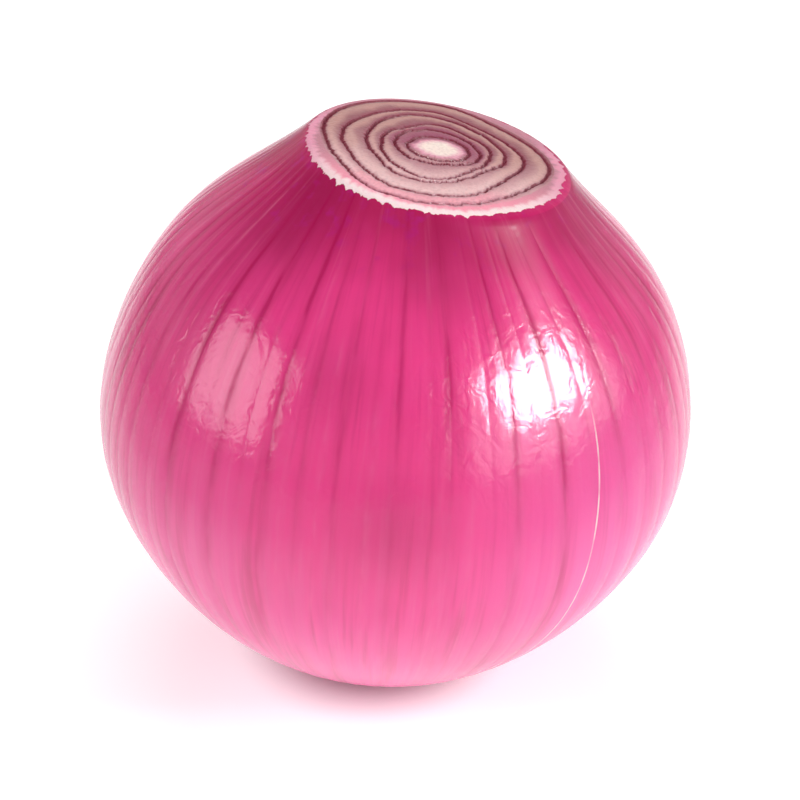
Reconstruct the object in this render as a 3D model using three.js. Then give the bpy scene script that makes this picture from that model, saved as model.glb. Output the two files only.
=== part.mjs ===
import * as THREE from "three";
import { mergeVertices } from "three/addons/utils/BufferGeometryUtils.js";

// A peeled magenta onion whose neck is sliced off at a slant, grown in one piece.
// Millimetres, +Z up, ground at z = 0. -Y is the front and +X the right.
// The origin is on the ground under the middle of the bulb.

// Body of the bulb
const MIDDLE_HEIGHT = 37.0; // the bulb's middle above the ground, its base being worn flat
const BULB_LEAN = 8.0; // degrees to the right, for the axis of the outline
const GROWTH_LEAN = 3.0; // degrees to the right, for the axis that the veins run round
const STATION = 15; // degrees between the distances below
// Middle to skin, from the top of the bulb's axis down to its foot and one station past it
const SKIN_DISTANCE = [43.0, 40.6, 36.6, 35.6, 36.4, 37.1, 37.9, 38.4, 38.1, 38.0, 38.3, 38.2, 37.8, 38.2];
// The shoulder stands out to the right and the heel to the left: how far, and at what angle
const SIDE_BULGES = [
  { out: 0.6, at: 72, reach: 50 },
  { out: -0.2, at: 122, reach: 35 },
];

// Veins, which part the skin into low ribs
const FRONT_VEINS = [
  -76, -71, -66, -61, -54, -48, -42, -37, -31, -26, -19, -12, -6, -1, 6, 10, 18, 23, 28, 33, 40, 47, 54, 61,
  69, 75,
]; // degrees from the front, to the right
const BACK_VEINS = 34;
const VEIN_WANDER = 1.2; // degrees either way from even spacing at the back
const RIB_HEIGHT = 0.3; // vein to rib
const RIB_RISE = 6; // degrees from the rim to the full height
const RIB_FALL = 25; // degrees from the full height to the foot
const SKIN_ROWS = 19;

// Cut at the neck
const CUT_TILT = 10.7; // degrees down to the right
const CUT_DISTANCE = 33.6; // from the bulb's middle, along the bulb's axis
const CUT_DOME = 0.5; // the heart stands this far above the rim
const HEART = { right: 0.5, away: 0.8 }; // from where the bulb's axis leaves the cut
// Seams between the fleshy scales, heart first: radius to the right, then every 30 degrees
const SEAMS = [
  [3.9, 4.0, 3.9, 3.6, 3.5, 3.6, 3.9, 3.8, 3.6, 3.4, 3.4, 3.6],
  [5.4, 5.4, 5.4, 5.6, 5.5, 5.4, 5.4, 5.3, 5.0, 4.4, 4.3, 4.8],
  [6.7, 7.1, 6.9, 7.6, 6.6, 6.7, 7.1, 7.7, 8.7, 8.6, 6.6, 6.2],
  [8.5, 8.9, 9.1, 10.1, 9.9, 9.2, 9.0, 9.1, 10.0, 9.4, 7.7, 7.2],
  [10.9, 10.7, 10.5, 11.8, 11.6, 11.6, 12.1, 12.1, 13.5, 12.8, 11.3, 9.9],
  [14.2, 13.6, 13.4, 15.0, 14.9, 14.8, 14.3, 14.3, 15.8, 15.1, 13.3, 13.1],
];
const SEAM_HALF_WIDTH = 0.3;
const SEAM_DEPTH = 0.5;
const SEAM_WOBBLE = 0.1;
const THINNEST_SCALE = 0.8; // seam to seam
const THINNEST_RIM = 1.1; // outermost seam to the rim

// Pale bevel round the cut, where the skin is torn back in teeth
const RIM_INSET = 0.35; // from where the cut would meet the whole skin, at the sides
const BEVEL_LENGTH = 1.0; // down the skin, at the sides
const MORE_IN_FRONT = 0.55; // share by which both grow at the front and shrink at the back
const TOOTH = 0.3; // either way

const SKIN_MAGENTA = 0xdd3f80;

const radians = THREE.MathUtils.degToRad;
const SEED = 5271;
let seed = SEED;

// The same run of numbers from 0 to 1 each time
function random() {
  seed = (seed * 16807) % 2147483647;
  return seed / 2147483647;
}

// Directions up along, right of and away from an axis that leans to the right
function leaningFrame(lean) {
  const turn = (x, y, z) =>
    new THREE.Vector3(x, y, z).applyAxisAngle(new THREE.Vector3(0, 1, 0), radians(lean));
  return { up: turn(0, 0, 1), right: turn(1, 0, 0), away: turn(0, 1, 0) };
}

const bulb = leaningFrame(BULB_LEAN);
const growth = leaningFrame(GROWTH_LEAN);
const cut = leaningFrame(CUT_TILT);

// Smooth value at a place between evenly spaced stations that close on themselves
function between(values, place) {
  const first = Math.floor(place);
  const share = place - first;
  const at = (index) => values[(index + values.length) % values.length];
  const [before, from, to, after] = [first - 1, first, first + 1, first + 2].map(at);
  const slopeFrom = (to - before) / 2;
  const slopeTo = (after - from) / 2;
  return (
    from +
    slopeFrom * share +
    (3 * (to - from) - 2 * slopeFrom - slopeTo) * share ** 2 +
    (2 * (from - to) + slopeFrom + slopeTo) * share ** 3
  );
}

// 1 at the middle, falling smoothly to 0 at either end
function hump(offset) {
  return Math.abs(offset) < 1 ? Math.cos((offset * Math.PI) / 2) ** 2 : 0;
}

// Point of the smooth skin in a direction from the bulb's middle
function skinPoint(direction, lift = 0) {
  const polar = THREE.MathUtils.radToDeg(direction.angleTo(bulb.up));
  const sideways = direction.dot(bulb.right);
  const bulge = SIDE_BULGES.reduce((sum, { out, at, reach }) => sum + out * hump((polar - at) / reach), 0);
  const distance = between(SKIN_DISTANCE, polar / STATION) + bulge * sideways + lift;
  return direction.clone().multiplyScalar(distance);
}

// Direction from the middle, in degrees down from the growth axis and round it from the right
function growthDirection(polar, azimuth) {
  const outward = growth.right
    .clone()
    .multiplyScalar(Math.cos(azimuth))
    .addScaledVector(growth.away, Math.sin(azimuth));
  return growth.up
    .clone()
    .multiplyScalar(Math.cos(radians(polar)))
    .addScaledVector(outward, Math.sin(radians(polar)));
}

// Degrees down a vein at which the skin passes a plane, between two that lie on either side of it
function crossing(azimuth, above, low, high) {
  for (let step = 0; step < 40; step += 1) {
    const middle = (low + high) / 2;
    if (above(skinPoint(growthDirection(middle, azimuth)))) {
      low = middle;
    } else {
      high = middle;
    }
  }
  return (low + high) / 2;
}

// Directions of the veins, as seen on the front and evenly spread with some wander at the back
function veinAngles() {
  const lastFront = FRONT_VEINS[FRONT_VEINS.length - 1];
  const gap = (360 + FRONT_VEINS[0] - lastFront) / (BACK_VEINS + 1);
  const back = Array.from(
    { length: BACK_VEINS },
    (_, index) => lastFront + gap * (index + 1) + VEIN_WANDER * (2 * random() - 1),
  );
  return [...FRONT_VEINS, ...back];
}

// One column down every vein and one down every rib between two veins, from the front's left round
function columnAngles() {
  const veins = veinAngles();
  return veins.flatMap((vein, index) => {
    const next = index + 1 < veins.length ? veins[index + 1] : veins[0] + 360;
    return [vein, (vein + next) / 2];
  });
}

const heart = bulb.up
  .clone()
  .multiplyScalar(CUT_DISTANCE)
  .addScaledVector(cut.right, HEART.right)
  .addScaledVector(cut.away, HEART.away);
const cutLevel = heart.dot(cut.up);
const MM_PER_DEGREE = radians(1) * SKIN_DISTANCE[2];

// Points of one column, from beside the heart down to the edge of the flat foot
function columnPoints(angle, isVein) {
  const azimuth = radians(angle - 90);
  const points = [];

  // The cut: three points across each seam, and one at the rim
  const rimPolar = crossing(azimuth, (point) => point.dot(cut.up) > cutLevel, 5, 60);
  const rim = skinPoint(growthDirection(rimPolar, azimuth));
  const outward = rim.clone().sub(heart);
  const reach = outward.length();
  outward.normalize();
  const around = Math.atan2(outward.dot(cut.away), outward.dot(cut.right));
  const station = ((around / radians(30)) + 12) % 12;
  const onCut = (radius, level) =>
    heart
      .clone()
      .addScaledVector(outward, radius)
      .addScaledVector(cut.up, level + CUT_DOME * (1 - (radius / reach) ** 2));
  let inner = 0;
  SEAMS.forEach((seam, index) => {
    const scalesOutside = SEAMS.length - 1 - index;
    const wobble = SEAM_WOBBLE * (2 * random() - 1);
    const most = reach - THINNEST_RIM - THINNEST_SCALE * scalesOutside;
    const radius = Math.max(inner + THINNEST_SCALE, Math.min(between(seam, station) + wobble, most));
    points.push(onCut(radius - SEAM_HALF_WIDTH, 0));
    points.push(onCut(radius, -SEAM_DEPTH));
    points.push(onCut(radius + SEAM_HALF_WIDTH, 0));
    inner = radius;
  });
  const wear = 1 - MORE_IN_FRONT * Math.sin(azimuth);
  points.push(onCut(reach - RIM_INSET * wear, 0));

  // The skin: from the toothed edge of the bevel down to the foot
  const footPolar = crossing(azimuth, (point) => point.z > -MIDDLE_HEIGHT, 120, 178);
  const tooth = isVein ? TOOTH : -TOOTH;
  const bevel = BEVEL_LENGTH * wear + tooth;
  const edgePolar = rimPolar + bevel / MM_PER_DEGREE;
  const side = isVein ? -RIB_HEIGHT / 2 : RIB_HEIGHT / 2;
  for (let row = 0; row <= SKIN_ROWS; row += 1) {
    const polar = THREE.MathUtils.lerp(edgePolar, footPolar, row / SKIN_ROWS);
    const rise = Math.min(1, (polar - edgePolar) / RIB_RISE);
    const fall = Math.min(1, (footPolar - polar) / RIB_FALL);
    const lift = side * rise * fall * Math.sin(radians(polar));
    points.push(skinPoint(growthDirection(polar, azimuth), lift));
  }
  points[points.length - 1].z = -MIDDLE_HEIGHT;
  return points;
}

// A sphere's grid of rows and columns, moved to the bulb's own points and closed at both poles
function bulbGeometry() {
  const angles = columnAngles();
  const columns = angles.map((angle, index) => columnPoints(angle, index % 2 === 0));
  const rows = columns[0].length + 1;
  const heartTop = heart.clone().addScaledVector(cut.up, CUT_DOME);
  const footMiddle = growth.up.clone().multiplyScalar(-MIDDLE_HEIGHT / growth.up.z);
  const geometry = new THREE.SphereGeometry(1, angles.length, rows);
  const position = geometry.getAttribute("position");
  for (let index = 0; index < position.count; index += 1) {
    const row = Math.floor(index / (angles.length + 1));
    const column = (index % (angles.length + 1)) % angles.length;
    let point = columns[column][row - 1];
    if (row === 0) {
      point = heartTop;
    } else if (row === rows) {
      point = footMiddle;
    }
    position.setXYZ(index, point.x, point.y, point.z + MIDDLE_HEIGHT);
  }
  geometry.deleteAttribute("normal");
  geometry.deleteAttribute("uv");
  return mergeVertices(geometry);
}

const onion = new THREE.Group();
const skinMaterial = new THREE.MeshStandardMaterial({ color: SKIN_MAGENTA, roughness: 0.3, metalness: 0 });
const bulbMesh = new THREE.Mesh(bulbGeometry(), skinMaterial);
bulbMesh.name = "bulb";
onion.add(bulbMesh);

export default onion;
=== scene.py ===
from math import cos, pi, radians, sin, tan

import bpy
import numpy as np
from bpy.props import FloatProperty, FloatVectorProperty, PointerProperty
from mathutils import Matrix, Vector


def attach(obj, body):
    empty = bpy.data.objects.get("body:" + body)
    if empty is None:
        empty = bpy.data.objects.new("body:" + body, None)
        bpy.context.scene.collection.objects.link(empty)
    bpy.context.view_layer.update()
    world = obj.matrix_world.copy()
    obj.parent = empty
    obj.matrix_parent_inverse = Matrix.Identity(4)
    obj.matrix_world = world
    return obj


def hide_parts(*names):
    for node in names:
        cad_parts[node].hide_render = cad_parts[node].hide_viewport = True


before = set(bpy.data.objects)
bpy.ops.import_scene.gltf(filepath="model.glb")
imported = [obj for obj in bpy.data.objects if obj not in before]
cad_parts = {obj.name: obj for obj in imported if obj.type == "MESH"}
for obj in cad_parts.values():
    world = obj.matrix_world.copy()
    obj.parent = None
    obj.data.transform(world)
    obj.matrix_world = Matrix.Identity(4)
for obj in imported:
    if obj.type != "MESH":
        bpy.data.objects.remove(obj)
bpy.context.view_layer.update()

bl_info = {
    "name": "Peeled onion",
    "version": (1, 0, 0),
    "blender": (4, 5, 0),
    "location": "View3D > Sidebar > Onion",
    "description": "A peeled magenta onion with its neck sliced off, and a white stage to show it on",
    "category": "Add Mesh",
}

# Metres and +Z up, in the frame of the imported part. -Y is the front and +X the right.
# Angles round the onion are in degrees from the front, to the right.
# Angles down it are in degrees from its top. The named lengths below are in millimetres.
MM = 0.001
SEED = 5271

# Middle to skin, every 15 degrees from the top of the bulb's axis to its foot
SKIN_DISTANCE = [43.0, 40.6, 36.6, 35.6, 36.4, 37.1, 37.9, 38.4, 38.1, 38.0, 38.3, 38.2, 37.8]
STATION = 15
MM_PER_DEGREE = radians(1) * SKIN_DISTANCE[2]  # down the skin by the neck
# The shoulder stands out to the right and the heel to the left: how far, at what angle, and its reach
SIDE_BULGES = [(0.6, 72, 50), (-0.2, 122, 35)]
# Between which angles down the bulb the rim and the edge of the foot are looked for
RIM_ANGLES = (5, 60)
FOOT_ANGLES = (120, 178)

# Veins on the front: angle, and strength from 0 to 1
FRONT_VEINS = [
    (-76, 0.7), (-71, 0.6), (-66, 0.2), (-61, 0.7), (-54, 0.3), (-48, 1.0), (-42, 0.1), (-37, 1.0),
    (-31, 0.2), (-26, 1.0), (-19, 0.4), (-12, 0.6), (-6, 0.2), (-1, 0.6), (6, 0.2), (10, 0.6), (18, 0.1),
    (23, 0.7), (28, 0.2), (33, 0.9), (40, 0.3), (47, 0.6), (54, 0.3), (61, 0.6), (69, 0.6), (75, 0.6),
]
BACK_VEINS = 34
BACK_STRENGTHS = (0.1, 1.0)
VEIN_WANDER = 1.2  # degrees either way from even spacing at the back
VEIN_SWAY = 0.35  # degrees either way down each vein
SWAY_WAVES = (2.3, 3)  # down the bulb, and round it

# Ribs between the veins
RIB_RISE = 6  # degrees from the torn edge to the full height
RIB_FALL = 25  # degrees from the full height to the foot
WIDE_RIB = 6  # degrees from vein to vein at which a rib has its full height
RIB_ROUNDNESS = 0.8

# Marks on the skin: degrees from the middle of each kind of line to where about a third of it is left
VEIN_REACH = 0.6
BAND_REACH = 1.4
PALE_REACH = 0.5
BAND_SPREAD = 1.2  # more of it low down
BAND_SPREADS_FROM = 75
BAND_SPREADS_OVER = 40
LINE_FADE = 8  # degrees at either end of a pale line
# Pale lines: angle, strength, and the angles down the bulb between which each one shows
PALE_LINES = [
    (-79.6, 0.8, 20, 150), (-68.5, 0.4, 20, 120), (-59.0, 0.6, 20, 75), (-52.0, 0.3, 30, 110),
    (-42.0, 0.3, 95, 128), (-22.0, 0.3, 30, 110), (-15.0, 0.3, 50, 140), (-5.5, 0.3, 60, 140),
    (8.0, 0.3, 70, 140), (14.0, 0.3, 60, 130), (31.0, 0.4, 40, 120), (38.0, 0.4, 110, 150),
    (51.0, 0.4, 95, 114), (64.5, 0.4, 30, 130), (78.0, 0.6, 20, 150),
]
# One crisp thread from one angle at its top to another at its knee, then straight down to its bottom
THREAD = {"from": 41.5, "to": 38.8, "top": 70, "knee": 115, "bottom": 152}

# Darker patches, partly deeper colour and partly painted shade: angle, angle down the bulb, reach each way,
# and strength
# The painted shade is on the right shoulder, the left side and low on the right by the foot
DEEP_AND_SHADE_PATCHES = [
    (78, 32, 48, 0.5), (-40, 24, 30, 0.4), (-62, 42, 42, 0.4), (0, 88, 16, 0.25), (12, 34, 22, 0.3),
    (-15, 60, 14, 0.2), (32, 130, 34, 0.5),
]
# Paler pink patches, partly painted sheen below the two highlights, the same way
PINK_AND_SHEEN_PATCHES = [(46, 100, 48, 0.8), (-46, 104, 36, 0.35), (-12, 116, 20, 0.2)]

# Where the skin is torn back from the neck: how far past the whole rim, every 45 degrees from the front
TEAR = [0.3, -0.85, -0.7, -0.3, 0.0, 0.0, 0.2, 0.7]
TEAR_STATION = 45
TOOTH_REACH = 1.2  # degrees from a vein to the side of its tooth
FRAY = 0.1
NARROWEST_BEVEL = 0.35
BEVEL_CORNER = 0.6  # share of the sharp corner that the rounded bevel keeps

# Seams between the fleshy scales, heart first: out to the right, then every 30 degrees anticlockwise
SEAMS = [
    [3.9, 4.0, 3.9, 3.6, 3.5, 3.6, 3.9, 3.8, 3.6, 3.4, 3.4, 3.6],
    [5.4, 5.4, 5.4, 5.6, 5.5, 5.4, 5.4, 5.3, 5.0, 4.4, 4.3, 4.8],
    [6.7, 7.1, 6.9, 7.6, 6.6, 6.7, 7.1, 7.7, 8.7, 8.6, 6.6, 6.2],
    [8.5, 8.9, 9.1, 10.1, 9.9, 9.2, 9.0, 9.1, 10.0, 9.4, 7.7, 7.2],
    [10.9, 10.7, 10.5, 11.8, 11.6, 11.6, 12.1, 12.1, 13.5, 12.8, 11.3, 9.9],
    [14.2, 13.6, 13.4, 15.0, 14.9, 14.8, 14.3, 14.3, 15.8, 15.1, 13.3, 13.1],
]
SEAM_STATION = 30
FINE_WOBBLE = 0.05  # of a seam at the back, and twice that in front
BROAD_WOBBLE = 0.09
THINNEST_SCALE = 0.55
THINNEST_RIM = 1.1
ROOM_FOR_SCALE = 0.62  # kept for each scale further out
RIM_CROWN = 0.4  # share of the other scales' crown

# Columns of the mesh, in degrees
COLUMN_GAP = 1.1
CLOSEST_COLUMNS = 0.22
BESIDE_VEIN = (-0.3, 0.3, -0.75, 0.75)
BESIDE_PALE_LINE = (-0.35, 0.35)

# Rows of the mesh, from the heart of the cut down to the foot
HEART_SHARES = (0.25, 0.5, 0.75)  # of the way out to the first seam
SEAM_SIDES = (-1, -0.5, 0, 0.5, 1)  # across a seam
SCALE_SHARES = (0.2, 0.5, 0.8)  # across a scale
RIM_ROWS = len(SCALE_SHARES) + 1  # of the cut, outside its last seam
CUT_ROWS = len(HEART_SHARES) + len(SEAMS) * (len(SEAM_SIDES) + len(SCALE_SHARES)) + 1
BEVEL_ROWS = 4
SKIN_ROWS = 96
# The foot from its edge to its middle: share of the way out, and height above the ground
FOOT_ROWS = [
    (0.96, 0.0), (0.86, 0.0), (0.78, 0.05), (0.72, 0.5), (0.66, 0.9), (0.5, 0.75), (0.34, 0.8), (0.17, 0.7),
]
ROOT_MIDDLE_HEIGHT = 0.7
ON_CUT = slice(0, CUT_ROWS)
ON_BEVEL = slice(ON_CUT.stop, ON_CUT.stop + BEVEL_ROWS)
ON_SKIN = slice(ON_BEVEL.stop, ON_BEVEL.stop + SKIN_ROWS)
ON_FOOT = slice(ON_SKIN.stop, ON_SKIN.stop + len(FOOT_ROWS))

# What the finishes read away from the cut, in millimetres
NOT_BARE = -5
FAR_FROM_SEAM = 5

# Map for baking, as shares of its width and height: two strips, and two discs above them
STRIP_WIDTH = 0.97
STRIP_HEIGHT = 0.315
FRONT_STRIP_TOP = 0.660
BACK_STRIP_TOP = 0.325
DISC_RADIUS = 0.15
DISC_HEIGHT = 0.83
CUT_DISC = 0.17
FOOT_DISC = 0.50

# Root stubs in the hollow of the foot
STUBS = 70
STUB_SIDES = 6
STUB_SPREAD = 5.0
GOLDEN_ANGLE = 2.39996  # radians from one stub to the next
STUB_TOP = 1.4  # sunk in the plate
STUB_BEND = 0.6
STUB_TIP = 0.06
STUB_WIDTHS = (0.22, 0.34)
STUB_LOW_ENDS = (0.08, 0.43)
STUB_LEANS = (0, 0.3)

# Finest relief of the skin
RELIEF = {
    "everywhere": 0.015,
    "wrinkles": 0.075,
    "creases": 0.010,
    "streaks": 0.005,
    "thread": 0.02,
    "fray": 0.10,
}
MOST_VEIN = 0.65  # share of the vein's own colour where it is strongest

# Stage, in metres, with directions as seen from the middle of the bulb
FLOOR_HALF = 12.0
RIGHT_WALL = (0.90, -0.42, 0.10)
RIGHT_BOX = (0.801, -0.407, 0.438)
LEFT_BOX = (-0.877, -0.300, 0.375)
LAMP_DISTANCE = 0.6
# Each lamp's name, direction, half width and half height in degrees, the stage's value for it, and
# whether it is seen in reflections alone or lights the surface alone
LAMPS = [
    ("right shine", RIGHT_BOX, 17.5, 11.5, "right_shine", "glossy"),
    ("right bloom", (0.842, -0.438, 0.315), 32, 27, "right_bloom", "glossy"),
    ("left shine", LEFT_BOX, 18.5, 16.0, "left_shine", "glossy"),
    ("left middle", LEFT_BOX, 12, 10, "left_shine", "glossy"),
    ("right light", RIGHT_BOX, 25, 25, "right_light", "diffuse"),
    ("left light", (-0.8, -0.4, 0.447), 30, 30, "left_light", "diffuse"),
    ("front light", (0, -0.6, 0.8), 30, 30, "front_light", "diffuse"),
    ("top light", (0, 0.5, 0.866), 20, 20, "top_light", "diffuse"),
]
SENSOR_WIDTH = 36  # millimetres
CLIP = (0.01, 20)  # nearest and farthest that the camera sees


class BulbSizes(bpy.types.PropertyGroup):
    """The body of the bulb and its skin."""

    middle_height: FloatProperty(name="Middle height", description="Bulb's middle above the ground",
                                 default=0.037, unit="LENGTH")
    bulb_lean: FloatProperty(name="Bulb lean", description="Outline axis, degrees to the right",
                             default=8.0)
    growth_lean: FloatProperty(name="Growth lean", description="Vein axis, degrees to the right",
                               default=3.0)
    rib_height: FloatProperty(name="Rib height", description="Vein to rib",
                              default=0.00007, unit="LENGTH")
    groove_depth: FloatProperty(name="Vein depth", description="Fine groove along a strong vein",
                                default=0.000015, unit="LENGTH")
    groove_width: FloatProperty(name="Vein width", default=0.55,
                                description="Degrees from a vein's middle to its side")


class CutSizes(bpy.types.PropertyGroup):
    """The slanted cut at the neck and the pale bevel round it."""

    tilt: FloatProperty(name="Tilt", description="Degrees down to the right", default=10.7)
    distance: FloatProperty(name="Distance", description="From the bulb's middle, along its axis",
                            default=0.0336, unit="LENGTH")
    dome: FloatProperty(name="Dome", description="The heart stands this far above the rim",
                        default=0.0005, unit="LENGTH")
    heart_right: FloatProperty(name="Heart to the right", default=0.0005, unit="LENGTH",
                               description="From where the bulb's axis leaves the cut")
    heart_away: FloatProperty(name="Heart away", default=0.0008, unit="LENGTH",
                              description="From where the bulb's axis leaves the cut")
    seam_depth: FloatProperty(name="Seam depth", description="Groove between two scales",
                              default=0.0004, unit="LENGTH")
    seam_half_width: FloatProperty(name="Seam half width", description="Seam's middle to its side",
                                   default=0.00024, unit="LENGTH")
    scale_crown: FloatProperty(name="Scale crown", description="Each sliced scale swells this much",
                               default=0.00012, unit="LENGTH")
    rim_inset: FloatProperty(name="Rim inset", description="Wear of the rim, at the sides",
                             default=0.00035, unit="LENGTH")
    more_in_front: FloatProperty(name="More in front", default=0.55,
                                 description="Share by which that wear grows at the front")
    tooth: FloatProperty(name="Tooth", description="Teeth of the torn skin",
                         default=0.00018, unit="LENGTH")


def colour(name, text, value):
    """A colour property, linear."""
    return FloatVectorProperty(name=name, description=text, default=value, subtype="COLOR", min=0, max=1)


class OnionColours(bpy.types.PropertyGroup):
    """Colours of skin, flesh and root plate."""

    skin_top: colour("Skin by the neck", "Deep crimson below the cut", (0.48, 0.010, 0.100))
    # Also the painted shade of some of the darker patches
    skin_deep_and_shade: colour("Skin in patches", "Deepest crimson", (0.30, 0.004, 0.070))
    skin: colour("Skin", "Magenta of the shoulder", (0.92, 0.040, 0.270))
    skin_low: colour("Skin by the foot", "Pinker towards the root", (0.84, 0.075, 0.34))
    # Also the painted sheen of some of the paler patches
    skin_pink_and_sheen: colour("Skin in pale patches", "Palest magenta", (0.93, 0.100, 0.42))
    skin_blue: colour("Bluish skin", "Marks by the neck", (0.48, 0.010, 0.24))
    vein: colour("Vein", "Dark crimson lines", (0.40, 0.004, 0.075))
    pale: colour("Pale line", "Pale pink lines and threads", (0.90, 0.22, 0.42))
    flesh: colour("Flesh", "Outer part of each scale in front", (0.82, 0.53, 0.53))
    flesh_inner: colour("Inner flesh", "Inner part of each scale in front", (0.68, 0.38, 0.40))
    # The flesh at the back is darkened by painted shade
    flesh_rear_shaded: colour("Flesh at the back", "Outer part of each scale behind", (0.54, 0.29, 0.26))
    flesh_dim: colour("Inner flesh at the back", "Inner part of each scale behind", (0.32, 0.12, 0.14))
    mauve: colour("Mauve", "Thin inmost scales", (0.33, 0.085, 0.15))
    glow: colour("Pink flesh", "Between the two outermost seams in front", (0.90, 0.32, 0.42))
    rim: colour("Rim", "Torn edge in front", (0.95, 0.74, 0.74))
    rim_dim: colour("Inner rim at the sides", "By the outermost seam", (0.50, 0.21, 0.26))
    rim_side: colour("Rim at the sides", "Torn edge at the sides and behind", (0.78, 0.32, 0.44))
    seam: colour("Seam", "Dark lines between scales", (0.22, 0.025, 0.050))
    heart: colour("Heart", "Cream oval in the middle", (0.95, 0.78, 0.70))
    root: colour("Root plate", "Tan corky plate", (0.45, 0.30, 0.17))


def brightness(name, text, value):
    """A property for a strength of light."""
    return FloatProperty(name=name, description=text, default=value, min=0)


class StageSizes(bpy.types.PropertyGroup):
    """Camera and light."""

    camera_distance: FloatProperty(name="Camera distance", description="From the bulb's middle",
                                   default=0.4, unit="LENGTH")
    camera_elevation: FloatProperty(name="Camera elevation", description="Degrees above the horizon",
                                    default=28.79)
    lens: FloatProperty(name="Lens", description="Focal length in millimetres", default=139.26)
    shift_x: FloatProperty(name="Shift across", description="Share of the frame", default=0.00556)
    shift_y: FloatProperty(name="Shift up", description="Share of the frame", default=-0.01268)
    right_shine: FloatProperty(name="Right shine", default=17.0,
                               description="Radiance of the right soft box in reflections")
    right_bloom: FloatProperty(name="Right bloom", default=0.7,
                               description="Radiance of the glow round it in reflections")
    left_shine: FloatProperty(name="Left shine", default=2.3,
                              description="Radiance of the left soft box in reflections")
    right_light: brightness("Right light", "Light on white that faces it", 0.12)
    left_light: brightness("Left light", "Light on white that faces it", 0.14)
    front_light: brightness("Front light", "Light on white that faces it", 0.38)
    top_light: brightness("Top light", "Light on white that faces it", 0.6)
    floor_glow: brightness("Floor glow", "Own light of the floor", 0.46)
    # Painted light on the floor round the onion
    near_painted_light: brightness("Glow round the onion", "More light where its shade falls", 0.15)
    horizon: brightness("Horizon", "Light of the room at floor height", 0.52)
    ceiling: brightness("Ceiling", "Light of the room overhead", 0.2)
    right_wall: brightness("Right wall", "More light of the room to the right", 1.4)


GROUPS = {
    "onion_bulb": BulbSizes,
    "onion_cut": CutSizes,
    "onion_colours": OnionColours,
    "onion_stage": StageSizes,
}


def leaning(lean):
    """Directions up along, right of and away from an axis that leans to the right."""
    turn = radians(lean)
    up = np.array([sin(turn), 0.0, cos(turn)])
    right = np.array([cos(turn), 0.0, -sin(turn)])
    return up, right, np.array([0.0, 1.0, 0.0])


def foot_middle(sizes):
    """Where the growth axis meets the ground, from the bulb's middle."""
    up = leaning(sizes.growth_lean)[0]
    return up * (-sizes.middle_height / up[2])


def controls(values):
    """Control values of the smooth closed curve through evenly spaced values."""
    one = np.eye(len(values))
    shares = (4 * one + np.roll(one, 1, 0) + np.roll(one, -1, 0)) / 6
    return np.linalg.solve(shares, np.array(values))


def curve(control, place):
    """Value of that curve at each place, in stations."""
    first = np.floor(place).astype(int)
    t = place - first
    before, near, far, after = (control[(first + k) % len(control)] for k in (-1, 0, 1, 2))
    near_share = 3 * t**3 - 6 * t**2 + 4
    far_share = -3 * t**3 + 3 * t**2 + 3 * t + 1
    return ((1 - t) ** 3 * before + near_share * near + far_share * far + t**3 * after) / 6


def hump(offset):
    """1 at the middle, falling smoothly to 0 at either end."""
    return np.where(np.abs(offset) < 1, np.cos(np.clip(offset, -1, 1) * pi / 2) ** 2, 0)


def smooth_step(value):
    """0 below 0, 1 above 1 and smooth in between."""
    t = np.clip(value, 0, 1)
    return t * t * (3 - 2 * t)


def apart(angles, angle):
    """Degrees from an angle, the short way round."""
    return (angles - angle + 180) % 360 - 180


def marks(angles, places, reach):
    """Strength at each column of marks that fade to either side of their own angles."""
    return sum(force * np.exp(-((apart(angles, angle) / reach) ** 2)) for angle, force in places)


def draws(seed, factor=16807, prime=2147483647):
    """The same run of numbers from 0 to 1 each time."""
    while True:
        seed = seed * factor % prime
        yield seed / prime


def drawn(draw, least, most):
    """The next number of a run, between two bounds."""
    return least + (most - least) * next(draw)


def ripple(rng, count, width, rows=1):
    """Smooth random values from about -1 to 1 round the onion, width columns long."""
    noise = rng.normal(size=(rows, count))
    reach = np.arange(count)
    reach = np.minimum(reach, count - reach)
    kernel = np.exp(-((reach / width) ** 2))
    smooth = np.fft.irfft(np.fft.rfft(noise, axis=1) * np.fft.rfft(kernel), n=count, axis=1)
    return smooth / np.abs(smooth).std() / 2


def all_veins():
    """Angle and strength of every vein: those seen in front, and others spread evenly with some wander."""
    number = draws(SEED)
    last = FRONT_VEINS[-1][0]
    gap = (360 + FRONT_VEINS[0][0] - last) / (BACK_VEINS + 1)
    even = [last + gap * (i + 1) for i in range(BACK_VEINS)]
    angles = [angle + drawn(number, -VEIN_WANDER, VEIN_WANDER) for angle in even]
    return FRONT_VEINS + [(angle, drawn(number, *BACK_STRENGTHS)) for angle in angles]


def column_angles(veins):
    """Angles of the mesh's columns: close at each vein and pale line, and even between them."""
    at = [apart(angle, 0) for angle, _ in veins]
    lines = [angle for angle, *_ in PALE_LINES]
    wanted = at + lines
    wanted += [angle + step for step in BESIDE_VEIN for angle in at]
    wanted += [angle + step for step in BESIDE_PALE_LINE for angle in lines]
    wanted += list(np.arange(-180, 180, COLUMN_GAP))
    kept = []
    for angle in wanted:
        angle = apart(angle, 0)
        if all(abs(apart(angle, other)) > CLOSEST_COLUMNS for other in kept):
            kept.append(angle)
    return np.sort(np.array(kept))


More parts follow.
